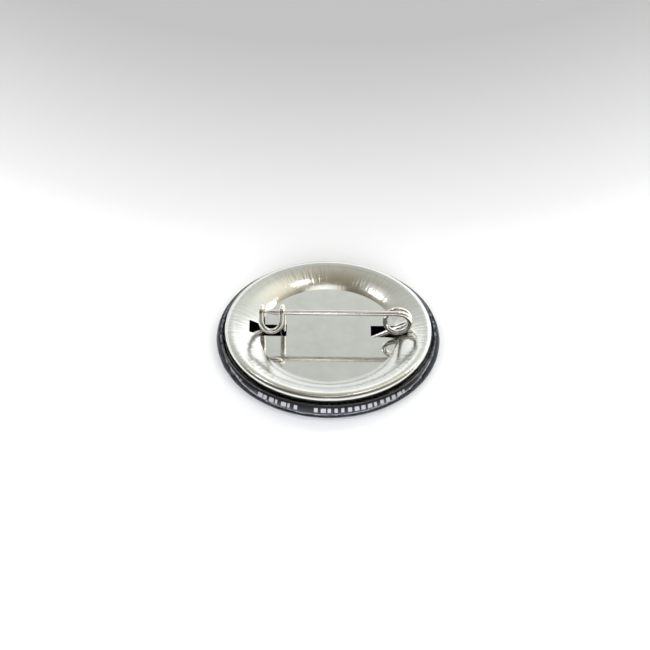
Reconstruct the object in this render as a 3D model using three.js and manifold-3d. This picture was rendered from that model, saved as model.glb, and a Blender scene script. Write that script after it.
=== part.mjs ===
// Pin-back button badge, 38 mm across.
// It lies face down: the printed dome is below, the metal back plate and its pin are above.
// Millimetres, +Z up, +X along the pin towards its spring coil, origin under the dome's centre.

import * as THREE from "three";
import { mergeVertices } from "three/addons/utils/BufferGeometryUtils.js";
import Module from "manifold-3d";

// ---------------------------------------------------------------- driving dimensions

const TURN_STEPS = 40; // flats around every turned piece

// Front skin: clear film over paper over a tinplate dome, curled in at the rim.
const DOME_RADIUS = 100; // radius of the shallow front dome
const REST_RADIUS = 4.5; // small flat at the dome's middle, which it rests on
const REST_HOLLOW = 0.02; // the flat's middle lies this much above its edge, so it stands on the edge
const CURL_CENTRE_R = 17.2; // distance of the rim curl's centre from the axis
const CURL_RADIUS = 1.8; // radius of the rim curl, which gives a 38 mm badge
const CURL_END = 42; // degrees above level where the shell's edge ends
const FILM = { depth: 0, thickness: 0.1, tuck: 34 }; // tuck: degrees turned back under the edge
const PAPER = { depth: 0.13, thickness: 0.12, tuck: 28 };
const SHELL = { depth: 0.28, thickness: 0.28 };

// Back plate: a shallow tinplate dish with a rounded crest and a turned-down skirt.
const PLATE_TOP = 4.0; // height of the flat floor of the dish
const PLATE_THICKNESS = 0.25;
const FLOOR_RADIUS = 11.7;
const SLOPE_PULL = { r: 13.6, rise: 1.25 }; // the slope bends towards this point
const CREST_INNER = { r: 15.75, rise: 1.67 }; // where the dish's slope meets the crest
const CREST_PULL = { r: 16.25, rise: 1.8 };
const CREST_TOP = { r: 16.65, rise: 1.82 };
const SKIRT_RADIUS = 17.6;
const SKIRT_RISE = 0.9; // where the rounded edge turns into the straight skirt
const SKIRT_BOTTOM = 2.2;

// Two punched slots that the pin wire passes through.
const SLOT_NEAR_Y = -0.65;
const SLOT_FAR_Y = 2.25;
const LEFT_SLOT_X = [-13.45, -7.1];
const RIGHT_SLOT_X = [7.25, 13.45];

// Spring wire of the pin.
const WIRE_RADIUS = 0.45;
const WIRE_SIDES = 10;
const PIN_Y = -0.5; // the needle lies a little in front of the badge's middle
const COIL_X = 11.7;
const COIL_Z = 7.15;
const COIL_RADIUS = 2.1;
const COIL_SHIFT = 1.0; // how far the second turn lies behind the first
const COIL_TURNS = 1.45;
const COIL_SPLIT = 0.7; // turns that move with the needle
const SPLIT_GAP = 0.015; // turns left open between the moving and the still wire
const NEEDLE_Z = COIL_Z + COIL_RADIUS;
const TAPER_START_X = -8.2;
const TIP_X = -11.1;
const TIP_RADIUS = 0.06;
const TAPER_FULLNESS = 0.8; // below 1 the point is blunter
const BASE_Z = 3.2; // height of the wire's base under the plate
const BASE_RIGHT = { x: 7.0, y: -0.2 };
const COIL_RUN_OUT = 2.4; // how far the wire keeps the coil's direction as it dives under the plate
const BASE_RUN_IN = 0.9;

// Catch: the wire's end, doubled into a hairpin and bent over the needle.
const RIGHT_LEG_X = -7.7;
const LEFT_LEG_X = -11.15;
const CATCH_LEAN = -0.22; // the hairpin leans this far to the left
const FOOT_BEND = 0.6;
const HOOK_RADIUS = 1.1;
const HOOK_CENTRE_Z = NEEDLE_Z - 0.1;
const HOOK_TURN = 147; // degrees that the wire turns over the needle
const ARM_LENGTH = 1.3;
const TAIL_BEND = 0.8;
const TAIL_LENGTH = 1.6;
const TAIL_Z = 3.8;
const TAIL_DIRECTION = new THREE.Vector3(-0.9, -0.436, 0);

const RADIANS = Math.PI / 180;

// ---------------------------------------------------------------- turned pieces

// Points on an arc in the (radius, height) plane, with angles in degrees from the outward level.
function arcPoints(centre, radius, from, to, steps) {
  const points = [];
  for (let i = 0; i <= steps; i += 1) {
    const angle = (from + ((to - from) * i) / steps) * RADIANS;
    points.push(
      new THREE.Vector2(
        centre.x + radius * Math.cos(angle),
        centre.y + radius * Math.sin(angle),
      ),
    );
  }
  return points;
}

// The line moved sideways by a distance, to its left as it is followed.
function offsetLine(line, distance) {
  return line.map((point, i) => {
    const before = line[Math.max(i - 1, 0)];
    const after = line[Math.min(i + 1, line.length - 1)];
    const back = i > 0 ? point.clone().sub(before).normalize() : null;
    const ahead = i < line.length - 1 ? after.clone().sub(point).normalize() : null;
    const a = back ?? ahead;
    const b = ahead ?? back;
    const normal = new THREE.Vector2(-a.y - b.y, a.x + b.x).normalize();
    const stretch = 1 / (normal.x * -a.y + normal.y * a.x);
    return point.clone().addScaledVector(normal, distance * stretch);
  });
}

// A sheet of even thickness turned about the axis. The line runs from the axis to the sheet's edge.
function turnedSheet(line, thickness) {
  const below = offsetLine(line, -thickness / 2);
  const above = offsetLine(line, thickness / 2);
  below[0].x = 0;
  above[0].x = 0;
  const turned = new THREE.LatheGeometry([...below, ...above.reverse()], TURN_STEPS);
  return turned.rotateX(90 * RADIANS);
}

// Height of the front dome's centre of curvature, so that the flat at its middle lies at 0.
const DOME_CENTRE_Z = Math.sqrt(DOME_RADIUS ** 2 - REST_RADIUS ** 2);
const CURL_CENTRE = new THREE.Vector2(
  CURL_CENTRE_R,
  DOME_CENTRE_Z - Math.sqrt((DOME_RADIUS - CURL_RADIUS) ** 2 - CURL_CENTRE_R ** 2),
);
const CURL_START = -Math.acos(CURL_CENTRE_R / (DOME_RADIUS - CURL_RADIUS)) / RADIANS;

// The front skin's line at some depth under its outer face: middle flat, dome and rim curl.
function skinLine(depth) {
  const domeSteps = 3;
  const curlSteps = 7;
  const radius = DOME_RADIUS - depth;
  const lastR = radius * Math.cos(CURL_START * RADIANS);
  const line = [];
  for (let i = 0; i < domeSteps; i += 1) {
    const r = REST_RADIUS + ((lastR - REST_RADIUS) * i) / domeSteps;
    line.push(new THREE.Vector2(r, DOME_CENTRE_Z - Math.sqrt(radius ** 2 - r ** 2)));
  }
  line.unshift(new THREE.Vector2(0, line[0].y + REST_HOLLOW));
  const curl = arcPoints(CURL_CENTRE, CURL_RADIUS - depth, CURL_START, CURL_END, curlSteps);
  return [...line, ...curl];
}

// A skin that is wrapped round the shell's edge and tucked back inside it.
function wrappedSkin({ depth, thickness, tuck }) {
  const outer = depth + thickness / 2;
  const middle = SHELL.depth + SHELL.thickness / 2;
  const foldCentre = arcPoints(CURL_CENTRE, CURL_RADIUS - middle, CURL_END, CURL_END, 1)[0];
  const fold = arcPoints(foldCentre, middle - outer, CURL_END, CURL_END + 180, 4);
  const innerRadius = CURL_RADIUS - 2 * middle + outer;
  const tucked = arcPoints(CURL_CENTRE, innerRadius, CURL_END, CURL_END - tuck, 2);
  return turnedSheet([...skinLine(outer), ...fold.slice(1), ...tucked.slice(1)], thickness);
}

function shellGeometry() {
  return turnedSheet(skinLine(SHELL.depth + SHELL.thickness / 2), SHELL.thickness);
}

// ---------------------------------------------------------------- joining and cutting

const manifold = await Module();
manifold.setup();

function toSolid(geometry) {
  const bare = geometry.clone();
  bare.deleteAttribute("normal");
  bare.deleteAttribute("uv");
  const merged = mergeVertices(bare, 1e-5);
  return new manifold.Manifold(
    new manifold.Mesh({
      numProp: 3,
      vertProperties: Float32Array.from(merged.attributes.position.array),
      triVerts: Uint32Array.from(merged.index.array),
    }),
  );
}

function toGeometry(solid) {
  const mesh = solid.getMesh();
  const geometry = new THREE.BufferGeometry();
  geometry.setAttribute("position", new THREE.BufferAttribute(mesh.vertProperties, 3));
  geometry.setIndex(new THREE.BufferAttribute(mesh.triVerts, 1));
  geometry.computeVertexNormals();
  return geometry;
}

// ---------------------------------------------------------------- back plate

function slotCutter([fromX, toX]) {
  const height = 4; // taller than the plate is at the slots
  const cutter = new THREE.BoxGeometry(toX - fromX, SLOT_FAR_Y - SLOT_NEAR_Y, height);
  cutter.translate((fromX + toX) / 2, (SLOT_NEAR_Y + SLOT_FAR_Y) / 2, PLATE_TOP + 1);
  return toSolid(cutter);
}

function plateGeometry() {
  const top = new THREE.Path();
  top.moveTo(0, PLATE_TOP);
  top.lineTo(FLOOR_RADIUS, PLATE_TOP);
  const bendTo = (pull, end) =>
    top.quadraticCurveTo(pull.r, PLATE_TOP + pull.rise, end.r, PLATE_TOP + end.rise);
  bendTo(SLOPE_PULL, CREST_INNER);
  bendTo(CREST_PULL, CREST_TOP);
  bendTo({ r: SKIRT_RADIUS, rise: CREST_TOP.rise }, { r: SKIRT_RADIUS, rise: SKIRT_RISE });
  top.lineTo(SKIRT_RADIUS, SKIRT_BOTTOM);
  const curveSteps = 4;
  const middle = offsetLine(top.getPoints(curveSteps), -PLATE_THICKNESS / 2);
  middle[0].x = 0;
  const plate = toSolid(turnedSheet(middle, PLATE_THICKNESS));
  return toGeometry(
    plate.subtract(slotCutter(LEFT_SLOT_X)).subtract(slotCutter(RIGHT_SLOT_X)),
  );
}

// ---------------------------------------------------------------- pin wire

// A wire's centre line through its stations. Sweeps step from station to station, so tight bends
// keep their stations and straight runs need few.
class WireLine extends THREE.CatmullRomCurve3 {
  getUtoTmapping(u) {
    return u;
  }
}

// Stations on an arc about a centre, turning from the direction of `start` towards `toward`.
function arcStations(centre, start, toward, radius, from, to, steps) {
  const stations = [];
  for (let i = 0; i <= steps; i += 1) {
    const angle = (from + ((to - from) * i) / steps) * RADIANS;
    stations.push(
      centre
        .clone()
        .addScaledVector(start, radius * Math.cos(angle))
        .addScaledVector(toward, radius * Math.sin(angle)),
    );
  }
  return stations;
}

// Stations on the spring coil from one turn count to another. Turn 0 is at the top.
function coilStations(fromTurn, toTurn) {
  const stepTurns = 1 / 30;
  const steps = Math.ceil((toTurn - fromTurn) / stepTurns);
  const stations = [];
  for (let i = 0; i <= steps; i += 1) {
    const turn = fromTurn + ((toTurn - fromTurn) * i) / steps;
    const angle = turn * 360 * RADIANS;
    stations.push(
      new THREE.Vector3(
        COIL_X + COIL_RADIUS * Math.sin(angle),
        PIN_Y + COIL_SHIFT * THREE.MathUtils.smoothstep(turn, 0.5, 0.95),
        COIL_Z + COIL_RADIUS * Math.cos(angle),
      ),
    );
  }
  return stations;
}

function sweptWire(stations) {
  const line = new WireLine(stations, false, "centripetal");
  const section = new THREE.Shape().absarc(0, 0, WIRE_RADIUS, 0, 2 * Math.PI);
  return new THREE.ExtrudeGeometry(section, {
    steps: stations.length - 1,
    curveSegments: WIRE_SIDES / 2,
    extrudePath: line,
    bevelEnabled: false,
  });
}

// Stations that run straight from one point to another, with a few close to each end.
function straightStations(from, to) {
  const endRun = 0.2;
  const end = endRun / from.distanceTo(to);
  return [0, end, 0.5, 1 - end, 1].map((t) => from.clone().lerp(to, t));
}

// The straight needle with its tapered tip, and the part of the coil that moves with it.
function needleGeometry() {
  const tip = new THREE.Vector3(TIP_X, PIN_Y, NEEDLE_Z);
  const taperStart = new THREE.Vector3(TAPER_START_X, PIN_Y, NEEDLE_Z);
  const coilTop = new THREE.Vector3(COIL_X, PIN_Y, NEEDLE_Z);
  const taper = [0, 0.1, 0.4, 0.7].map((t) => tip.clone().lerp(taperStart, t));
  const shaft = straightStations(taperStart, coilTop).slice(0, -1);
  const geometry = sweptWire([...taper, ...shaft, ...coilStations(0, COIL_SPLIT)]);

  const position = geometry.attributes.position;
  for (let i = 0; i < position.count; i += 1) {
    const along = THREE.MathUtils.clamp(
      (position.getX(i) - TIP_X) / (TAPER_START_X - TIP_X),
      0,
      1,
    );
    if (along < 1 && position.getX(i) < 0) {
      const width = Math.sin((along * Math.PI) / 2) ** TAPER_FULLNESS;
      const scale = Math.max(width, TIP_RADIUS / WIRE_RADIUS);
      position.setY(i, PIN_Y + (position.getY(i) - PIN_Y) * scale);
      position.setZ(i, NEEDLE_Z + (position.getZ(i) - NEEDLE_Z) * scale);
    }
  }
  geometry.computeVertexNormals();
  return geometry;
}

// One leg of the catch, from its foot up behind the needle and over it to the end of its arm.
function catchLeg(legX, footZ) {
  const legY = PIN_Y + HOOK_RADIUS;
  const foot = new THREE.Vector3(legX, legY, footZ);
  const shoulder = new THREE.Vector3(legX, legY, HOOK_CENTRE_Z);
  const bend = arcStations(
    new THREE.Vector3(legX, PIN_Y, HOOK_CENTRE_Z),
    new THREE.Vector3(0, 1, 0),
    new THREE.Vector3(0, 0, 1),
    HOOK_RADIUS,
    0,
    HOOK_TURN,
    10,
  );
  bend.forEach((station, i) => {
    station.x += (CATCH_LEAN * i) / (bend.length - 1);
  });
  const armDirection = new THREE.Vector3(
    0,
    -Math.sin(HOOK_TURN * RADIANS),
    Math.cos(HOOK_TURN * RADIANS),
  );
  const armEnd = bend.at(-1).clone().addScaledVector(armDirection, ARM_LENGTH);
  const leg = straightStations(foot, shoulder).slice(0, -1);
  return { stations: [...leg, ...bend, armEnd], armDirection };
}

// The still part of the pin: rear of the coil, base under the plate, catch and tail.
function baseGeometry() {
  const coil = coilStations(COIL_SPLIT + SPLIT_GAP, COIL_TURNS);
  const coilEnd = coil.at(-1);
  const leaving = COIL_TURNS * 360 * RADIANS;
  const leavingDirection = new THREE.Vector3(Math.cos(leaving), 0, -Math.sin(leaving));
  const baseRight = new THREE.Vector3(BASE_RIGHT.x, BASE_RIGHT.y, BASE_Z);
  const descent = new THREE.CubicBezierCurve3(
    coilEnd,
    coilEnd.clone().addScaledVector(leavingDirection, COIL_RUN_OUT),
    baseRight.clone().add(new THREE.Vector3(BASE_RUN_IN, 0, 0)),
    baseRight,
  ).getPoints(12);

  const legY = PIN_Y + HOOK_RADIUS;
  const footCentre = new THREE.Vector3(
    RIGHT_LEG_X + FOOT_BEND,
    legY,
    BASE_Z + FOOT_BEND,
  );
  const rightFoot = arcStations(
    footCentre,
    new THREE.Vector3(0, 0, -1),
    new THREE.Vector3(-1, 0, 0),
    FOOT_BEND,
    0,
    90,
    6,
  );
  const base = straightStations(baseRight, rightFoot[0]).slice(1, -1);

  const right = catchLeg(RIGHT_LEG_X, BASE_Z + FOOT_BEND);
  const left = catchLeg(LEFT_LEG_X, TAIL_Z + TAIL_BEND);
  const rightEnd = right.stations.at(-1);
  const leftEnd = left.stations.at(-1);
  const hairpin = arcStations(
    rightEnd.clone().lerp(leftEnd, 0.5),
    new THREE.Vector3(1, 0, 0),
    right.armDirection,
    rightEnd.distanceTo(leftEnd) / 2,
    0,
    180,
    14,
  );

  const tailDirection = TAIL_DIRECTION.clone().normalize();
  const tailBend = arcStations(
    left.stations[0].clone().addScaledVector(tailDirection, TAIL_BEND),
    tailDirection.clone().negate(),
    new THREE.Vector3(0, 0, -1),
    TAIL_BEND,
    0,
    90,
    7,
  );
  const tailEnd = tailBend.at(-1).clone().addScaledVector(tailDirection, TAIL_LENGTH);

  return sweptWire([
    ...coil,
    ...descent.slice(1),
    ...base,
    ...rightFoot,
    ...right.stations.slice(1, -1),
    ...hairpin,
    ...left.stations.reverse().slice(1),
    ...tailBend.slice(1),
    tailEnd,
  ]);
}

// ---------------------------------------------------------------- the badge

function piece(name, geometry, color, roughness, metalness) {
  const material = new THREE.MeshStandardMaterial({ color, roughness, metalness });
  const mesh = new THREE.Mesh(geometry, material);
  mesh.name = name;
  return mesh;
}

const badge = new THREE.Group();
badge.add(
  piece("clear_film", wrappedSkin(FILM), 0x101014, 0.08, 0),
  piece("printed_paper", wrappedSkin(PAPER), 0x16161a, 0.6, 0),
  piece("front_shell", shellGeometry(), 0xb9bab6, 0.3, 1),
  piece("back_plate", plateGeometry(), 0xc6c8c4, 0.12, 1),
  piece("pin_base_and_catch", baseGeometry(), 0xb4b3ae, 0.18, 1),
  piece("pin_needle", needleGeometry(), 0xb4b3ae, 0.18, 1),
);

export default badge;
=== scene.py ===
# Looks of the pin-back button badge: a 38 mm badge lying face down, with its wire pin on top.
# Metres, +Z up, +X along the pin towards its spring coil. Sizes below are in millimetres.

import math
import random

import bmesh
import bpy
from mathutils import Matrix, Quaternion, Vector


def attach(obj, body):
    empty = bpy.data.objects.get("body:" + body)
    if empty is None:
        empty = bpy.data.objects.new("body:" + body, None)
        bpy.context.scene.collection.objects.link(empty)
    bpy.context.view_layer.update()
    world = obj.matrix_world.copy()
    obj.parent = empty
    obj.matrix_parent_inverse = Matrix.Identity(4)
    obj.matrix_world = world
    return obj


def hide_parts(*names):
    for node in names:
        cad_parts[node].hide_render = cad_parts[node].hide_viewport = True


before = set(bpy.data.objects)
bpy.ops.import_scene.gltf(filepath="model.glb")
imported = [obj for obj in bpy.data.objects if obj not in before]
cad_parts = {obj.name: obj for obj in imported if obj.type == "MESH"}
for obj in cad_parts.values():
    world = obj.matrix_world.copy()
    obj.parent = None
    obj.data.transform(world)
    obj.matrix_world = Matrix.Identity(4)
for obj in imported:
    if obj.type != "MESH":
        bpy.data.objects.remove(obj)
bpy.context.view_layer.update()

MM = 0.001
random.seed(7)

# ---------------------------------------------------------------- sizes, as in the CAD

TURN_STEPS = 240  # facets round a turned piece

DOME_RADIUS = 100
REST_RADIUS = 4.5
REST_HOLLOW = 0.02
CURL_CENTRE_R = 17.2
CURL_RADIUS = 1.8
CURL_END = 42
DOME_CENTRE_Z = math.sqrt(DOME_RADIUS**2 - REST_RADIUS**2)
CURL_CENTRE_Z = DOME_CENTRE_Z - math.sqrt((DOME_RADIUS - CURL_RADIUS) ** 2 - CURL_CENTRE_R**2)
CURL_START = -math.degrees(math.acos(CURL_CENTRE_R / (DOME_RADIUS - CURL_RADIUS)))

SHELL_DEPTH = 0.28
SHELL_THICKNESS = 0.28
PAPER = {"depth": 0.13, "thickness": 0.12, "tuck": 28}
FILM = {"depth": 0.0, "thickness": 0.1, "tuck": 34}

PLATE_TOP = 4.0
PLATE_THICKNESS = 0.25
FLAT_RADIUS = 11.7
SLOPE_PULL = (13.6, 1.25)
CREST_INNER = (15.75, 1.67)
CREST_PULL = (16.25, 1.8)
CREST_TOP = (16.65, 1.82)
SKIRT_RADIUS = 17.6
SKIRT_RISE = 0.9
SKIRT_BOTTOM = 2.2
SLOT_Y = (-0.65, 2.25)
SLOTS_X = ((-13.45, -7.1), (7.25, 13.45))

WIRE_RADIUS = 0.45
WIRE_SIDES = 28
PIN_Y = -0.5
COIL_X = 11.7
COIL_Z = 7.15
COIL_RADIUS = 2.1
COIL_SHIFT = 1.0
COIL_TURNS = 1.45
NEEDLE_Z = COIL_Z + COIL_RADIUS
TAPER_START_X = -8.2
TIP_X = -11.1
TIP_RADIUS = 0.06
BASE_Z = 3.2
BASE_RIGHT = Vector((7.0, -0.2, BASE_Z))

RIGHT_LEG_X = -7.7
LEFT_LEG_X = -11.15
CATCH_LEAN = -0.22
FOOT_BEND = 0.6
HOOK_RADIUS = 1.1
HOOK_CENTRE_Z = NEEDLE_Z - 0.1
HOOK_TURN = 147
ARM_LENGTH = 1.3
TAIL_BEND = 0.8
TAIL_LENGTH = 1.6
TAIL_Z = 3.8
TAIL_DIRECTION = Vector((-0.9, -0.436, 0)).normalized()

# The moving and the still wire overlap inside the coil, so that no gap shows between them.
MOVING_COIL_END = 0.72
STILL_COIL_START = 0.66
HIDDEN_END_SCALE = 0.985
HIDDEN_BLEND = 0.02  # part of a turn over which the moving wire thins to its hidden end

TAPER_FULLNESS = 0.8  # power of the needle's taper; lower is blunter
# How strongly the wire keeps its direction as it leaves the coil and as it meets the base.
COIL_RUN_OUT = 2.4
BASE_RUN_IN = 0.9
# Where the coil steps sideways, as turns from its top.
COIL_STEP_TURNS = (0.5, 0.95)

# Steps from station to station along each stretch of wire.
TAPER_STEPS = 20
SHAFT_STEPS = 24
COIL_STEPS_PER_TURN = 64
DESCENT_STEPS = 30
LEG_STEPS = 12  # a leg or the base
HOOK_STEPS = 26
SHORT_STEPS = 6  # a hook's arm or the tail
HAIRPIN_STEPS = 36
FOOT_STEPS = 14
TAIL_STEPS = 16

# Edges sharper than this, in degrees, are shaded as corners.
SKIN_CORNER = 40
PLATE_CORNER = 28
WIRE_CORNER = 50

# ---------------------------------------------------------------- camera

CAMERA_DISTANCE = 400
CAMERA_AZIMUTH = -0.33
CAMERA_ELEVATION = 41.82
CAMERA_ROLL = 0.94
FOCAL_SHARE = 3.61477  # focal length as a share of the picture's width
AIM_HEIGHT = 4.0
SENSOR = 36
# Where the badge's middle lies, off the middle of the picture, as a share of its width.
FRAMING = (0.004923, 0.014)
# Nearest and furthest distance that the camera sees, in metres.
CLIP = (0.01, 20)


def make_camera():
    """A long lens that looks down at the badge's middle, a little turned and rolled."""
    data = bpy.data.cameras.new("camera")
    data.sensor_width = SENSOR
    data.lens = SENSOR * FOCAL_SHARE
    data.clip_start, data.clip_end = CLIP
    data.shift_x = -FRAMING[0]
    data.shift_y = FRAMING[1]
    camera = bpy.data.objects.new("camera", data)
    azimuth = math.radians(CAMERA_AZIMUTH)
    elevation = math.radians(CAMERA_ELEVATION)
    back = Vector(
        (
            math.sin(azimuth) * math.cos(elevation),
            -math.cos(azimuth) * math.cos(elevation),
            math.sin(elevation),
        )
    )
    camera.location = (Vector((0, 0, AIM_HEIGHT)) + back * CAMERA_DISTANCE) * MM
    camera.rotation_mode = "QUATERNION"
    turn = (-back).to_track_quat("-Z", "Y")
    turn.rotate(Quaternion(back, math.radians(CAMERA_ROLL)))
    camera.rotation_quaternion = turn
    bpy.context.scene.collection.objects.link(camera)
    bpy.context.scene.camera = camera


make_camera()

# ---------------------------------------------------------------- mesh helpers


def add_piece(name, mesh, material, corner=None):
    obj = bpy.data.objects.new(name, mesh)
    bpy.context.scene.collection.objects.link(obj)
    mesh.materials.append(material)
    mesh.polygons.foreach_set("use_smooth", [True] * len(mesh.polygons))
    if corner is not None:
        mesh.set_sharp_from_angle(angle=math.radians(corner))
    return obj


def rise(value, low, high):
    """0 up to low, 1 from high on, and a straight rise between them."""
    return max(0.0, min(1.0, (value - low) / (high - low)))


def arc(centre, radius, start, end, steps):
    points = []
    for i in range(steps + 1):
        angle = math.radians(start + (end - start) * i / steps)
        points.append((centre[0] + radius * math.cos(angle), centre[1] + radius * math.sin(angle)))
    return points


def offset_line(line, distance):
    """The line moved sideways, to its left as it is followed."""
    moved = []
    for i, (x, y) in enumerate(line):
        before = Vector(line[max(i - 1, 0)])
        after = Vector(line[min(i + 1, len(line) - 1)])
        here = Vector((x, y))
        ahead = (after - here).normalized() if i < len(line) - 1 else (here - before).normalized()
        behind = (here - before).normalized() if i > 0 else ahead
        normal = Vector((-ahead.y - behind.y, ahead.x + behind.x)).normalized()
        stretch = 1 / (normal.x * -behind.y + normal.y * behind.x)
        moved.append(tuple(here + normal * distance * stretch))
    return moved


def curve_points(start, pull, end, steps):
    """A quadratic curve, without its first point."""
    points = []
    for i in range(1, steps + 1):
        t = i / steps
        a, b, c = (1 - t) ** 2, 2 * t * (1 - t), t * t
        points.append(tuple(a * s + b * p + c * e for s, p, e in zip(start, pull, end)))
    return points


def turned_mesh(name, outline, shape=None):
    """A closed solid turned about Z. The outline starts and ends on the axis."""
    build = bmesh.new()
    rings = []
    for r, z in outline[1:-1]:
        ring = []
        for i in range(TURN_STEPS):
            angle = 2 * math.pi * i / TURN_STEPS
            radius, height = shape(r, z, angle) if shape else (r, z)
            ring.append(
                build.verts.new(
                    (radius * math.cos(angle) * MM, radius * math.sin(angle) * MM, height * MM)
                )
            )
        rings.append(ring)
    for lower, upper in zip(rings, rings[1:]):
        for i in range(TURN_STEPS):
            j = (i + 1) % TURN_STEPS
            build.faces.new((lower[i], lower[j], upper[j], upper[i]))
    for ring, (_, z) in ((rings[0], outline[0]), (rings[-1], outline[-1])):
        pole = build.verts.new((0, 0, z * MM))
        for i in range(TURN_STEPS):
            build.faces.new((pole, ring[i], ring[(i + 1) % TURN_STEPS]))
    bmesh.ops.recalc_face_normals(build, faces=build.faces)
    mesh = bpy.data.meshes.new(name)
    build.to_mesh(mesh)
    build.free()
    return mesh


def sheet_outline(line, thickness):
    """The outline of a sheet that follows the line, open on the axis."""
    below = offset_line(line, -thickness / 2)
    above = offset_line(line, thickness / 2)
    below[0] = (0, below[0][1])
    above[0] = (0, above[0][1])
    return below + above[::-1]


# ---------------------------------------------------------------- front skins

DOME_STEPS = 12
CURL_STEPS = 28
FOLD_STEPS = 10
TUCK_STEPS = 5


def skin_line(depth):
    """The skin's line under its outer face: middle flat, dome and rim curl."""
    radius = DOME_RADIUS - depth
    last = radius * math.cos(math.radians(CURL_START))
    line = []
    for i in range(DOME_STEPS):
        r = REST_RADIUS + (last - REST_RADIUS) * i / DOME_STEPS
        line.append((r, DOME_CENTRE_Z - math.sqrt(radius**2 - r**2)))
    low = line[0][1]
    middle = [(0, low + REST_HOLLOW), (REST_RADIUS / 2, low + REST_HOLLOW / 2)]
    centre = (CURL_CENTRE_R, CURL_CENTRE_Z)
    curl = arc(centre, CURL_RADIUS - depth, CURL_START, CURL_END, CURL_STEPS)
    return middle + line + curl


def wrapped_line(depth, thickness, tuck):
    """A skin that is wrapped round the shell's edge and tucked back inside it."""
    outer = depth + thickness / 2
    middle = SHELL_DEPTH + SHELL_THICKNESS / 2
    centre = (CURL_CENTRE_R, CURL_CENTRE_Z)
    fold_centre = arc(centre, CURL_RADIUS - middle, CURL_END, CURL_END, 1)[0]
    fold = arc(fold_centre, middle - outer, CURL_END, CURL_END + 180, FOLD_STEPS)
    inner = CURL_RADIUS - 2 * middle + outer
    tucked = arc(centre, inner, CURL_END, CURL_END - tuck, TUCK_STEPS)
    return skin_line(outer) + fold[1:] + tucked[1:]


# Small gathers where the flat film and paper were pressed round the rim.
GATHER_COUNT = 44
GATHER_WIDTHS = (0.012, 0.035)  # in radians
GATHER_DEPTHS = (0.01, 0.03)
GATHERS = [
    {
        "angle": random.uniform(0, 2 * math.pi),
        "width": random.uniform(*GATHER_WIDTHS),
        "depth": random.uniform(*GATHER_DEPTHS),
    }
    for _ in range(GATHER_COUNT)
]
# Radius and height at which the gathers start and at which they are at full depth.
GATHER_R = (17.6, 19)
GATHER_Z = (1.5, 4.2)
WAVE_DEPTH = 0.012
WAVE_COUNT = 23
WAVE_DRIFT = 2  # how unevenly the waves are spaced, in radians
DRIFT_COUNT = 3


def gathered(r, z, angle):
    """The rim drawn in a little at each gather and over a slow wave. It never grows outwards."""
    drift = WAVE_DRIFT * math.sin(DRIFT_COUNT * angle)
    pull = WAVE_DEPTH * (1 + math.sin(WAVE_COUNT * angle + drift))
    for gather in GATHERS:
        away = angle - gather["angle"]
        away = math.atan2(math.sin(away), math.cos(away))
        pull += gather["depth"] * math.exp(-((away / gather["width"]) ** 2))
    return r - pull * rise(r, *GATHER_R) * rise(z, *GATHER_Z), z


# ---------------------------------------------------------------- material helpers

# Where most of a noise's values lie.
NOISE_SPREAD = (0.3, 0.7)
# The same for colours, which keeps the darker tone in more places.
WIDE_SPREAD = (0.3, 0.75)


def new_material(name):
    material = bpy.data.materials.new(name)
    material.use_nodes = True
    tree = material.node_tree
    shader = tree.nodes["Principled BSDF"]
    return material, tree, shader


def maths(tree, operation, first, second=0.0):
    node = tree.nodes.new("ShaderNodeMath")
    node.operation = operation
    for socket, value in zip(node.inputs, (first, second)):
        if isinstance(value, (int, float)):
            socket.default_value = value
        else:
            tree.links.new(value, socket)
    return node.outputs[0]


def between(tree, value, low, high):
    """1 where low < value < high, else 0."""
    above = maths(tree, "GREATER_THAN", value, low)
    below = maths(tree, "LESS_THAN", value, high)
    return maths(tree, "MULTIPLY", above, below)


def map_range(tree, value, source, target):
    """The value moved from the source range to the target range, and kept inside it."""
    node = tree.nodes.new("ShaderNodeMapRange")
    names = ("From Min", "From Max", "To Min", "To Max")
    for name, number in zip(names, (*source, *target)):
        node.inputs[name].default_value = number
    tree.links.new(value, node.inputs["Value"])
    return node.outputs["Result"]


def noise(tree, coordinates, scale, detail):
    node = tree.nodes.new("ShaderNodeTexNoise")
    node.inputs["Scale"].default_value = scale
    node.inputs["Detail"].default_value = detail
    tree.links.new(coordinates, node.inputs["Vector"])
    return node.outputs["Fac"]


def ramp(tree, value, stops):
    """A colour looked up in stops of (position, colour)."""
    node = tree.nodes.new("ShaderNodeValToRGB")
    while len(node.color_ramp.elements) < len(stops):
        node.color_ramp.elements.new(0.5)
    for element, (position, colour) in zip(node.color_ramp.elements, stops):
        element.position = position
        element.color = (*colour, 1)
    tree.links.new(value, node.inputs["Fac"])
    return node.outputs["Color"]


def blend_colours(tree, kind, factor, first, second):
    node = tree.nodes.new("ShaderNodeMix")
    node.data_type = "RGBA"
    node.blend_type = kind
    for name, value in (("Factor", factor), ("A", first), ("B", second)):
        socket = next(i for i in node.inputs if i.name == name and i.enabled)
        if isinstance(value, (int, float, tuple)):
            socket.default_value = value
        else:
            tree.links.new(value, socket)
    return next(o for o in node.outputs if o.enabled)


def bumped_normal(tree, height, strength, distance):
    node = tree.nodes.new("ShaderNodeBump")
    node.inputs["Strength"].default_value = strength
    node.inputs["Distance"].default_value = distance
    tree.links.new(height, node.inputs["Height"])
    return node.outputs["Normal"]


def object_coordinates(tree):
    return tree.nodes.new("ShaderNodeTexCoord").outputs["Object"]


def split_coordinates(tree, coordinates):
    split = tree.nodes.new("ShaderNodeSeparateXYZ")
    tree.links.new(coordinates, split.inputs[0])
    return split.outputs["X"], split.outputs["Y"], split.outputs["Z"]


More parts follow.
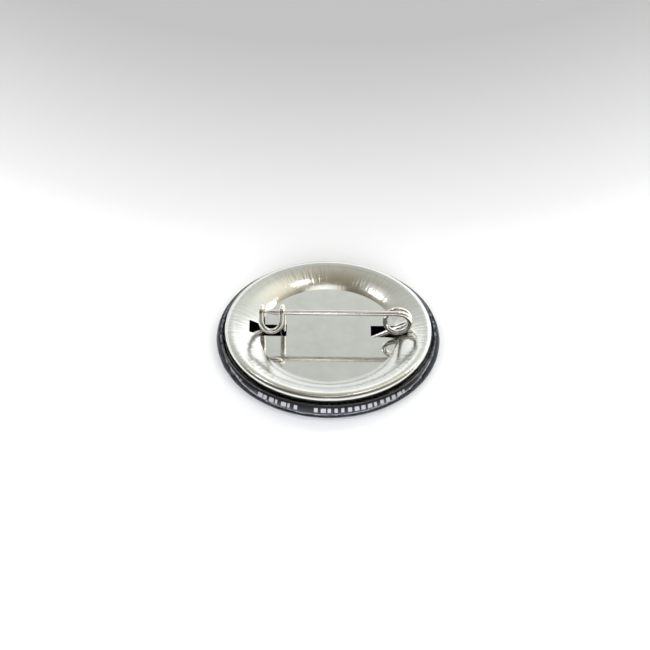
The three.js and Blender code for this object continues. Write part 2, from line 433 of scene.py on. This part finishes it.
def polar_coordinates(tree, across, along):
    """Position as (turn, radius, height), and the radius alone.

    There are `across` cells round a turn and `along` cells per mm.
    """
    x, y, z = split_coordinates(tree, object_coordinates(tree))
    angle = maths(tree, "ARCTAN2", y, x)
    square_x = maths(tree, "MULTIPLY", x, x)
    square_y = maths(tree, "MULTIPLY", y, y)
    radius = maths(tree, "SQRT", maths(tree, "ADD", square_x, square_y))
    join = tree.nodes.new("ShaderNodeCombineXYZ")
    for name, value, cells in (
        ("X", angle, across / (2 * math.pi)),
        ("Y", radius, along / MM),
        ("Z", z, along / MM),
    ):
        tree.links.new(maths(tree, "MULTIPLY", value, cells), join.inputs[name])
    return join.outputs[0], radius


# ---------------------------------------------------------------- metals

TIN_DULL = (0.72, 0.73, 0.70)
TIN_BRIGHT = (0.79, 0.80, 0.77)
TIN_ROUGHNESS = (0.05, 0.1)
# The pressing stretched the slope, which left it less mirror-like than the flat.
SLOPE_ROUGHNESS = 0.09
SLOPE_BLEND = 0.7  # mm over which the flat's finish turns into the slope's
STRETCH_MARKS_ROUND = 170
STRETCH_MARKS_ALONG = 0.35  # per mm

SHELL_DULL = (0.60, 0.61, 0.59)
SHELL_BRIGHT = (0.70, 0.71, 0.69)
SHELL_ROUGHNESS = (0.22, 0.34)

WIRE_DULL = (0.82, 0.81, 0.79)
WIRE_BRIGHT = (0.92, 0.91, 0.89)
WIRE_ROUGHNESS = (0.05, 0.12)


def metal(name, dull, bright, scale, detail):
    """A metal whose colour varies in soft spots. Gives back the spots too."""
    material, tree, shader = new_material(name)
    shader.inputs["Metallic"].default_value = 1
    spots = noise(tree, object_coordinates(tree), scale, detail)
    tones = zip(WIDE_SPREAD, (dull, bright))
    tree.links.new(ramp(tree, spots, list(tones)), shader.inputs["Base Color"])
    return material, tree, shader, spots


def bright_tinplate():
    """Polished tinplate: rolled flat in the middle, with fine radial stretch marks on the slope."""
    material, tree, shader, _ = metal("bright_tinplate", TIN_DULL, TIN_BRIGHT, scale=260, detail=3)
    polar, radius = polar_coordinates(tree, STRETCH_MARKS_ROUND, STRETCH_MARKS_ALONG)
    slope_edge = (FLAT_RADIUS * MM, (FLAT_RADIUS + SLOPE_BLEND) * MM)
    on_slope = map_range(tree, radius, slope_edge, (0, 1))
    haze = noise(tree, object_coordinates(tree), scale=500, detail=4)
    fine_haze = map_range(tree, haze, NOISE_SPREAD, TIN_ROUGHNESS)
    stretched = maths(tree, "MULTIPLY", on_slope, SLOPE_ROUGHNESS)
    tree.links.new(maths(tree, "ADD", fine_haze, stretched), shader.inputs["Roughness"])
    marks = maths(tree, "MULTIPLY", noise(tree, polar, scale=1.0, detail=4), on_slope)
    normal = bumped_normal(tree, marks, strength=0.3, distance=0.12 * MM)
    tree.links.new(normal, shader.inputs["Normal"])
    return material


def shell_tinplate():
    """Plain tinplate, duller than the back plate's."""
    material, tree, shader, spots = metal(
        "shell_tinplate", SHELL_DULL, SHELL_BRIGHT, scale=300, detail=4
    )
    roughness = map_range(tree, spots, NOISE_SPREAD, SHELL_ROUGHNESS)
    tree.links.new(roughness, shader.inputs["Roughness"])
    return material


def spring_wire():
    """Bright nickel-plated wire with a fine uneven surface."""
    material, tree, shader, spots = metal(
        "nickel_spring_wire", WIRE_DULL, WIRE_BRIGHT, scale=900, detail=4
    )
    roughness = map_range(tree, spots, NOISE_SPREAD, WIRE_ROUGHNESS)
    tree.links.new(roughness, shader.inputs["Roughness"])
    fine = noise(tree, object_coordinates(tree), scale=4200, detail=3)
    normal = bumped_normal(tree, fine, strength=0.12, distance=0.03 * MM)
    tree.links.new(normal, shader.inputs["Normal"])
    return material


# ---------------------------------------------------------------- print and film

# The print: a near-black rim round a plain two-tone face, and a dashed line along the rim.
RIM_BLACK = (0.010, 0.010, 0.013)
FACE_BLUE = (0.03, 0.10, 0.26)
FACE_CREAM = (0.78, 0.74, 0.62)
FACE_R = 14.6
INNER_R = 7.5
PRINT_R = 20
RING_BLEND = 0.08  # mm over which one colour turns into the next
PAPER_ROUGHNESS = 0.55
FIBRE_SHADE = (0.86, 0.86, 0.86)

DASH_WHITE = (0.50, 0.50, 0.52)
DASHES_ROUND = 104  # dashes there would be in a full turn
DASH_SHARES = (0.35, 0.85)  # inked share of the shortest and of the longest dash's cell
DASH_LOW_Z = 3.45
DASH_HIGH_Z = 4.15
# Where dashes start and stop, as shares of a turn from -X through -Y.
DASH_GROUPS = [(0.005, 0.11), (0.14, 0.21), (0.228, 0.375)]


def dash_mask(tree):
    """1 on the plain dashes printed along the near rim, else 0."""
    x, y, z = split_coordinates(tree, object_coordinates(tree))
    angle = maths(tree, "ARCTAN2", y, x)
    turn = maths(tree, "ADD", maths(tree, "DIVIDE", angle, 2 * math.pi), 0.5)
    place = maths(tree, "MULTIPLY", turn, DASHES_ROUND)
    chance = tree.nodes.new("ShaderNodeTexWhiteNoise")
    chance.noise_dimensions = "1D"
    tree.links.new(maths(tree, "FLOOR", place), chance.inputs["W"])
    share = map_range(tree, chance.outputs["Value"], (0, 1), DASH_SHARES)
    inked = maths(tree, "LESS_THAN", maths(tree, "FRACT", place), share)
    height = between(tree, z, DASH_LOW_Z * MM, DASH_HIGH_Z * MM)
    group = 0
    for low, high in DASH_GROUPS:
        group = maths(tree, "ADD", group, between(tree, turn, low, high))
    return maths(tree, "MULTIPLY", maths(tree, "MULTIPLY", inked, height), group)


def printed_paper():
    """Printed paper: rings of colour and the dashes, over a fine grain of fibres."""
    material, tree, shader = new_material("printed_paper")
    shader.inputs["Roughness"].default_value = PAPER_ROUGHNESS
    _, radius = polar_coordinates(tree, 1, 1)
    share = map_range(tree, radius, (0, PRINT_R * MM), (0, 1))
    stops = [
        (0.0, FACE_CREAM),
        (INNER_R / PRINT_R, FACE_CREAM),
        ((INNER_R + RING_BLEND) / PRINT_R, FACE_BLUE),
        (FACE_R / PRINT_R, FACE_BLUE),
        ((FACE_R + RING_BLEND) / PRINT_R, RIM_BLACK),
    ]
    rings = ramp(tree, share, stops)
    fibres = noise(tree, object_coordinates(tree), scale=1400, detail=5)
    tint = ramp(tree, fibres, list(zip(NOISE_SPREAD, (FIBRE_SHADE, (1, 1, 1)))))
    inked = blend_colours(tree, "MIX", dash_mask(tree), rings, (*DASH_WHITE, 1))
    mixed = blend_colours(tree, "MULTIPLY", 1, inked, tint)
    tree.links.new(mixed, shader.inputs["Base Color"])
    normal = bumped_normal(tree, fibres, strength=0.15, distance=0.04 * MM)
    tree.links.new(normal, shader.inputs["Normal"])
    return material


# The film's outer and inner faces both reflect, so these are lower than a clear plastic's.
FILM_IOR = 1.33
FILM_GLOSS = (0.60, 0.62, 0.66, 1)
FILM_TINT = (0.97, 0.97, 0.98, 1)
FILM_ROUGHNESS = (0.04, 0.13)
WRINKLES_ROUND = 90
WRINKLES_ALONG = 0.5  # per mm


def clear_film():
    """Thin clear film: see-through head on, glossy towards its edges."""
    material = bpy.data.materials.new("clear_film")
    material.use_nodes = True
    tree = material.node_tree
    nodes, links = tree.nodes, tree.links
    nodes.remove(nodes["Principled BSDF"])
    through = nodes.new("ShaderNodeBsdfTransparent")
    through.inputs["Color"].default_value = FILM_TINT
    gloss = nodes.new("ShaderNodeBsdfGlossy")
    gloss.inputs["Color"].default_value = FILM_GLOSS
    smears = noise(tree, object_coordinates(tree), scale=420, detail=4)
    roughness = map_range(tree, smears, NOISE_SPREAD, FILM_ROUGHNESS)
    links.new(roughness, gloss.inputs["Roughness"])
    fresnel = nodes.new("ShaderNodeFresnel")
    fresnel.inputs["IOR"].default_value = FILM_IOR
    polar, _ = polar_coordinates(tree, WRINKLES_ROUND, WRINKLES_ALONG)
    ripples = noise(tree, polar, scale=1.0, detail=3)
    wrinkled = bumped_normal(tree, ripples, strength=0.3, distance=0.12 * MM)
    links.new(wrinkled, gloss.inputs["Normal"])
    links.new(wrinkled, fresnel.inputs["Normal"])
    mix = nodes.new("ShaderNodeMixShader")
    links.new(fresnel.outputs[0], mix.inputs[0])
    links.new(through.outputs[0], mix.inputs[1])
    links.new(gloss.outputs[0], mix.inputs[2])
    links.new(mix.outputs[0], nodes["Material Output"].inputs["Surface"])
    return material


TINPLATE = bright_tinplate()
SHELL_METAL = shell_tinplate()
WIRE_METAL = spring_wire()
PRINT = printed_paper()
CLEAR = clear_film()

# ---------------------------------------------------------------- front skins as pieces


def settle(obj, body, node):
    """Ties a piece to its body and hides the CAD node that it replaces."""
    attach(obj, body)
    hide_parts(node)


film_outline = sheet_outline(wrapped_line(**FILM), FILM["thickness"])
film_mesh = turned_mesh("film_wrap", film_outline, gathered)
film = add_piece("film_wrap", film_mesh, CLEAR, SKIN_CORNER)
settle(film, "badge", "clear_film")

paper_outline = sheet_outline(wrapped_line(**PAPER), PAPER["thickness"])
paper_mesh = turned_mesh("print_disc", paper_outline, gathered)
paper = add_piece("print_disc", paper_mesh, PRINT, SKIN_CORNER)
settle(paper, "badge", "printed_paper")

shell_outline = sheet_outline(skin_line(SHELL_DEPTH + SHELL_THICKNESS / 2), SHELL_THICKNESS)
shell_mesh = turned_mesh("shell_pressing", shell_outline)
shell = add_piece("shell_pressing", shell_mesh, SHELL_METAL, SKIN_CORNER)
settle(shell, "badge", "front_shell")

# ---------------------------------------------------------------- back plate

FLAT_RINGS = 6
SLOPE_STEPS = 14
CREST_STEPS = 8
EDGE_STEPS = 12
CUTTER_HEIGHT = 4
CUTTER_LIFT = 1  # from the plate's flat to the middle of the cutter


def plate_line():
    """The plate's middle line: flat, slope, crest, rolled edge and skirt."""
    flat = [(FLAT_RADIUS * i / FLAT_RINGS, 0) for i in range(FLAT_RINGS + 1)]
    slope = curve_points((FLAT_RADIUS, 0), SLOPE_PULL, CREST_INNER, SLOPE_STEPS)
    crest = curve_points(CREST_INNER, CREST_PULL, CREST_TOP, CREST_STEPS)
    corner = (SKIRT_RADIUS, CREST_TOP[1])
    edge = curve_points(CREST_TOP, corner, (SKIRT_RADIUS, SKIRT_RISE), EDGE_STEPS)
    skirt = [(SKIRT_RADIUS, SKIRT_BOTTOM - PLATE_TOP)]
    top = flat + slope + crest + edge + skirt
    return offset_line([(r, PLATE_TOP + z) for r, z in top], -PLATE_THICKNESS / 2)


def cut_slots(obj):
    """The two holes that the wire goes through, punched as boxes."""
    low_y, high_y = SLOT_Y
    for i, (low, high) in enumerate(SLOTS_X):
        middle = Vector(((low + high) / 2, (low_y + high_y) / 2, PLATE_TOP + CUTTER_LIFT))
        bpy.ops.mesh.primitive_cube_add(size=1, location=middle * MM)
        cutter = bpy.context.object
        cutter.scale = ((high - low) * MM, (high_y - low_y) * MM, CUTTER_HEIGHT * MM)
        bpy.context.view_layer.update()
        cut = obj.modifiers.new(f"slot_{i}", "BOOLEAN")
        cut.operation = "DIFFERENCE"
        cut.solver = "EXACT"
        cut.object = cutter
        bpy.context.view_layer.objects.active = obj
        bpy.ops.object.modifier_apply(modifier=cut.name)
        bpy.data.objects.remove(cutter)


plate_outline = sheet_outline(plate_line(), PLATE_THICKNESS)
plate_mesh = turned_mesh("back_plate_pressing", plate_outline)
plate = add_piece("back_plate_pressing", plate_mesh, TINPLATE)
cut_slots(plate)
plate.data.set_sharp_from_angle(angle=math.radians(PLATE_CORNER))
settle(plate, "badge", "back_plate")

# ---------------------------------------------------------------- pin wire


def arc_stations(centre, start, toward, radius, begin, end, steps):
    stations = []
    for i in range(steps + 1):
        angle = math.radians(begin + (end - begin) * i / steps)
        stations.append(
            centre + start * (radius * math.cos(angle)) + toward * (radius * math.sin(angle))
        )
    return stations


def smoothstep(value, low, high):
    t = rise(value, low, high)
    return t * t * (3 - 2 * t)


def coil_stations(start, end):
    """The coil's middle line between two turns, counted from its top."""
    steps = math.ceil((end - start) * COIL_STEPS_PER_TURN)
    stations = []
    for i in range(steps + 1):
        turn = start + (end - start) * i / steps
        angle = turn * 2 * math.pi
        stations.append(
            Vector(
                (
                    COIL_X + COIL_RADIUS * math.sin(angle),
                    PIN_Y + COIL_SHIFT * smoothstep(turn, *COIL_STEP_TURNS),
                    COIL_Z + COIL_RADIUS * math.cos(angle),
                )
            )
        )
    return stations


def straight_stations(start, end, steps):
    return [start.lerp(end, i / steps) for i in range(steps + 1)]


def bezier_stations(points, steps):
    a, b, c, d = points
    stations = []
    for i in range(steps + 1):
        t = i / steps
        stations.append(
            a * (1 - t) ** 3 + b * 3 * t * (1 - t) ** 2 + c * 3 * t * t * (1 - t) + d * t**3
        )
    return stations


def wire_mesh(name, stations, radii):
    """A closed round wire along its stations. Its section is carried along without twisting."""
    build = bmesh.new()
    count = len(stations)
    tangents = [
        (stations[min(i + 1, count - 1)] - stations[max(i - 1, 0)]).normalized()
        for i in range(count)
    ]
    side = tangents[0].orthogonal().normalized()
    rings = []
    for station, tangent, radius in zip(stations, tangents, radii):
        side = (side - tangent * side.dot(tangent)).normalized()
        other = tangent.cross(side)
        ring = []
        for k in range(WIRE_SIDES):
            angle = 2 * math.pi * k / WIRE_SIDES
            spoke = side * math.cos(angle) + other * math.sin(angle)
            ring.append(build.verts.new((station + spoke * radius) * MM))
        rings.append(ring)
    for near, far in zip(rings, rings[1:]):
        for k in range(WIRE_SIDES):
            n = (k + 1) % WIRE_SIDES
            build.faces.new((near[k], near[n], far[n], far[k]))
    build.faces.new(rings[0])
    build.faces.new(rings[-1])
    bmesh.ops.recalc_face_normals(build, faces=build.faces)
    mesh = bpy.data.meshes.new(name)
    build.to_mesh(mesh)
    build.free()
    return mesh


def needle_wire():
    """The part of the pin that moves: tapered point, straight shaft and the coil's first turn."""
    tip = Vector((TIP_X, PIN_Y, NEEDLE_Z))
    taper_start = Vector((TAPER_START_X, PIN_Y, NEEDLE_Z))
    coil_top = Vector((COIL_X, PIN_Y, NEEDLE_Z))
    taper = straight_stations(tip, taper_start, TAPER_STEPS)[:-1]
    shaft = straight_stations(taper_start, coil_top, SHAFT_STEPS)[:-1]
    coil = coil_stations(0, MOVING_COIL_END)
    radii = []
    for station in taper:
        along = max(0.0, (station.x - TIP_X) / (TAPER_START_X - TIP_X))
        width = math.sin(along * math.pi / 2) ** TAPER_FULLNESS
        radii.append(max(WIRE_RADIUS * width, TIP_RADIUS))
    radii += [WIRE_RADIUS] * len(shaft)
    for i in range(len(coil)):
        turn = MOVING_COIL_END * i / (len(coil) - 1)
        hidden = smoothstep(turn, STILL_COIL_START - HIDDEN_BLEND, STILL_COIL_START)
        radii.append(WIRE_RADIUS * (1 - (1 - HIDDEN_END_SCALE) * hidden))
    return wire_mesh("needle_wire", taper + shaft + coil, radii)


def catch_leg(leg_x, foot_z):
    """One leg of the catch with its hook and arm, and the direction in which the arm ends."""
    leg_y = PIN_Y + HOOK_RADIUS
    foot = Vector((leg_x, leg_y, foot_z))
    shoulder = Vector((leg_x, leg_y, HOOK_CENTRE_Z))
    bend = arc_stations(
        Vector((leg_x, PIN_Y, HOOK_CENTRE_Z)),
        Vector((0, 1, 0)),
        Vector((0, 0, 1)),
        HOOK_RADIUS,
        0,
        HOOK_TURN,
        HOOK_STEPS,
    )
    for i, station in enumerate(bend):
        station.x += CATCH_LEAN * i / (len(bend) - 1)
    turn = math.radians(HOOK_TURN)
    direction = Vector((0, -math.sin(turn), math.cos(turn)))
    arm_end = bend[-1] + direction * ARM_LENGTH
    leg = straight_stations(foot, shoulder, LEG_STEPS)[:-1]
    arm = straight_stations(bend[-1], arm_end, SHORT_STEPS)[1:]
    return leg + bend + arm, direction


def base_wire():
    """The rest of the pin: coil, descent, base, catch with its hairpin, and tail."""
    coil = coil_stations(STILL_COIL_START, COIL_TURNS)
    leaving = COIL_TURNS * 2 * math.pi
    leaving_direction = Vector((math.cos(leaving), 0, -math.sin(leaving)))
    descent = bezier_stations(
        (
            coil[-1],
            coil[-1] + leaving_direction * COIL_RUN_OUT,
            BASE_RIGHT + Vector((BASE_RUN_IN, 0, 0)),
            BASE_RIGHT,
        ),
        DESCENT_STEPS,
    )
    leg_y = PIN_Y + HOOK_RADIUS
    right_foot = arc_stations(
        Vector((RIGHT_LEG_X + FOOT_BEND, leg_y, BASE_Z + FOOT_BEND)),
        Vector((0, 0, -1)),
        Vector((-1, 0, 0)),
        FOOT_BEND,
        0,
        90,
        FOOT_STEPS,
    )
    base = straight_stations(BASE_RIGHT, right_foot[0], LEG_STEPS)[1:-1]
    right, arm_direction = catch_leg(RIGHT_LEG_X, BASE_Z + FOOT_BEND)
    left, _ = catch_leg(LEFT_LEG_X, TAIL_Z + TAIL_BEND)
    hairpin = arc_stations(
        right[-1].lerp(left[-1], 0.5),
        Vector((1, 0, 0)),
        arm_direction,
        (right[-1] - left[-1]).length / 2,
        0,
        180,
        HAIRPIN_STEPS,
    )
    tail_bend = arc_stations(
        left[0] + TAIL_DIRECTION * TAIL_BEND,
        -TAIL_DIRECTION,
        Vector((0, 0, -1)),
        TAIL_BEND,
        0,
        90,
        TAIL_STEPS,
    )
    tail_end = tail_bend[-1] + TAIL_DIRECTION * TAIL_LENGTH
    tail = straight_stations(tail_bend[-1], tail_end, SHORT_STEPS)
    stations = (
        coil
        + descent[1:]
        + base
        + right_foot
        + right[1:-1]
        + hairpin
        + left[::-1][1:]
        + tail_bend[1:]
        + tail[1:]
    )
    return wire_mesh("base_wire", stations, [WIRE_RADIUS] * len(stations))


needle = add_piece("needle_wire", needle_wire(), WIRE_METAL, WIRE_CORNER)
settle(needle, "needle", "pin_needle")
base = add_piece("catch_wire", base_wire(), WIRE_METAL, WIRE_CORNER)
settle(base, "badge", "pin_base_and_catch")

# ---------------------------------------------------------------- floor

FLOOR_SIZE = 6.0
FLOOR_DROP = 0.05
FLOOR_ROUGHNESS = 0.7
FLOOR_TINT = (0.98, 1, 1.03)
# Painted shade: the paper's brightness by distance behind the badge's middle, in mm. The grey
# stands in for the room light falling off towards the back; it is painted on the paper, not cast by
# the lamps.
FLOOR_PAINTED_SHADES = [(14, 0.86), (24, 0.75), (34, 0.66), (55, 0.55), (77, 0.45), (92, 0.4)]
FLOOR_PAINTED_SHADE_BEND = 5  # how fast the painted grey shade falls back to either side, per metre
# The painted grey shade fades out again far behind the badge, between these distances in mm.
FLOOR_FADE = (350, 1500)
FLOOR_PALE = (0.86, 0.87, 0.86, 1)


def make_floor():
    """A sheet of pale paper, with grey shade painted on it behind the badge."""
    bpy.ops.mesh.primitive_plane_add(size=FLOOR_SIZE, location=(0, 0, -FLOOR_DROP * MM))
    floor = bpy.context.object
    floor.name = "paper_floor"
    material, tree, shader = new_material("floor_paper_painted_shade")
    shader.inputs["Roughness"].default_value = FLOOR_ROUGHNESS
    # Painted shade: the paper is made greyer towards the back and the middle by its position, not
    # by the lamps.
    x, y, _ = split_coordinates(tree, object_coordinates(tree))
    side = maths(tree, "MULTIPLY", x, x)
    back = maths(tree, "SUBTRACT", y, maths(tree, "MULTIPLY", side, FLOOR_PAINTED_SHADE_BEND))
    far = FLOOR_PAINTED_SHADES[-1][0]
    share = map_range(tree, back, (0, far * MM), (0, 1))
    stops = [
        (distance / far, tuple(shade * tint for tint in FLOOR_TINT))
        for distance, shade in FLOOR_PAINTED_SHADES
    ]
    fade_start, fade_end = FLOOR_FADE
    fade = map_range(tree, back, (fade_start * MM, fade_end * MM), (0, 1))
    colour = blend_colours(tree, "MIX", fade, ramp(tree, share, stops), FLOOR_PALE)
    tree.links.new(colour, shader.inputs["Base Color"])
    floor.data.materials.append(material)


# ---------------------------------------------------------------- lamps

LAMP_DISTANCE = 1.2
# Each soft panel: the direction it lies in, its size in metres, its power and its colour.
PANELS = {
    "left_panel": ((0.67, 0.26, 0.70), (0.14, 0.14), 0.4, (1.0, 0.99, 0.97)),
    "high_panel": ((0.24, 0.06, 0.97), (0.13, 0.10), 0.25, (1.0, 0.99, 0.97)),
    "right_panel": ((-0.49, 0.17, 0.86), (0.12, 0.12), 0.36, (0.97, 0.98, 1.0)),
    "front_strip": ((0.0, -0.90, 0.43), (0.022, 1.1), 0.16, (1.0, 1.0, 1.0)),
}
# A broad light from the front that lights the paper and the print, and isn't seen in the metal.
FILL = ((0.0, -0.8, 0.6), (1.2, 0.9), 25.0, (1.0, 1.0, 1.0))


def add_panel(name, direction, size, power, colour):
    data = bpy.data.lights.new(name, "AREA")
    data.shape = "RECTANGLE"
    data.size, data.size_y = size
    data.energy = power
    data.color = colour
    light = bpy.data.objects.new(name, data)
    place = Vector(direction).normalized() * LAMP_DISTANCE
    light.location = place
    light.rotation_euler = (-place).to_track_quat("-Z", "Y").to_euler()
    bpy.context.scene.collection.objects.link(light)
    return light


# ---------------------------------------------------------------- room

# Light of the room by angle: 0 is the far horizon, 90 overhead, 180 the near horizon.
ROOM_SHADES = [
    (0, (0.95, 0.96, 0.97)),
    (20, (0.93, 0.94, 0.94)),
    (26, (1.14, 1.15, 1.14)),
    (34, (1.22, 1.23, 1.20)),
    (39.5, (0.76, 0.77, 0.75)),
    (42.5, (0.62, 0.635, 0.605)),
    (60, (0.53, 0.53, 0.49)),
    (72, (0.42, 0.39, 0.32)),
    (86, (0.30, 0.27, 0.20)),
    (112, (0.16, 0.14, 0.11)),
    (135, (0.07, 0.06, 0.05)),
    (165, (0.30, 0.29, 0.28)),
    (180, (0.75, 0.75, 0.75)),
]
# Soft bright areas of the room: the middle and half width of each sideways, as the X part of
# its direction, then by angle as above, its strength and its colour.
GLOWS = [
    (0.08, 0.36, 106, 9, 1.2, (1.0, 0.99, 0.97)),
    (0.38, 0.26, 76, 24, 0.55, (1.0, 0.97, 0.88)),
    (-0.44, 0.20, 78, 14, 0.6, (0.86, 0.90, 1.0)),
]
ROOM_STRENGTH = 1.07
BRIGHT_SIDE = 1.1  # how much brighter the room is on its +X side
BACKDROP = (0.86, 0.87, 0.86, 1)


def add_glow(tree, before, side, angle, glow):
    """The room's shader with one more bright area that fades towards its edge."""
    side_middle, side_width, angle_middle, angle_width, strength, colour = glow
    away = 0
    for value, middle, width in (
        (side, side_middle, side_width),
        (angle, math.radians(angle_middle), math.radians(angle_width)),
    ):
        off = maths(tree, "DIVIDE", maths(tree, "SUBTRACT", value, middle), width)
        away = maths(tree, "ADD", away, maths(tree, "MULTIPLY", off, off))
    area = tree.nodes.new("ShaderNodeBackground")
    area.inputs["Color"].default_value = (*colour, 1)
    tree.links.new(map_range(tree, away, (0, 1), (strength, 0)), area.inputs["Strength"])
    both = tree.nodes.new("ShaderNodeAddShader")
    tree.links.new(before, both.inputs[0])
    tree.links.new(area.outputs[0], both.inputs[1])
    return both.outputs[0]


def make_world():
    """Room light shaded by direction, with a plain backdrop for the camera."""
    world = bpy.data.worlds.new("studio")
    bpy.context.scene.world = world
    world.use_nodes = True
    tree = world.node_tree
    room = tree.nodes["Background"]
    x, y, z = split_coordinates(tree, tree.nodes.new("ShaderNodeTexCoord").outputs["Generated"])
    angle = maths(tree, "ARCTAN2", maths(tree, "MAXIMUM", z), y)
    share = maths(tree, "DIVIDE", angle, math.pi)
    stops = [(degrees / 180, shade) for degrees, shade in ROOM_SHADES]
    bright_side = maths(tree, "MULTIPLY", maths(tree, "MAXIMUM", x), BRIGHT_SIDE)
    tree.links.new(ramp(tree, share, stops), room.inputs["Color"])
    tree.links.new(maths(tree, "ADD", bright_side, ROOM_STRENGTH), room.inputs["Strength"])
    shader = room.outputs[0]
    for glow in GLOWS:
        shader = add_glow(tree, shader, x, angle, glow)
    # Behind the floor the camera sees a plain backdrop; the room's shades only light the scene.
    backdrop = tree.nodes.new("ShaderNodeBackground")
    backdrop.inputs["Color"].default_value = BACKDROP
    choice = tree.nodes.new("ShaderNodeMixShader")
    seen = tree.nodes.new("ShaderNodeLightPath").outputs["Is Camera Ray"]
    tree.links.new(seen, choice.inputs[0])
    tree.links.new(shader, choice.inputs[1])
    tree.links.new(backdrop.outputs[0], choice.inputs[2])
    tree.links.new(choice.outputs[0], tree.nodes["World Output"].inputs["Surface"])


make_floor()
make_world()
for panel_name, panel in PANELS.items():
    add_panel(panel_name, *panel)
fill = add_panel("front_fill", *FILL)
fill.visible_glossy = False

bpy.context.scene.view_settings.view_transform = "Standard"
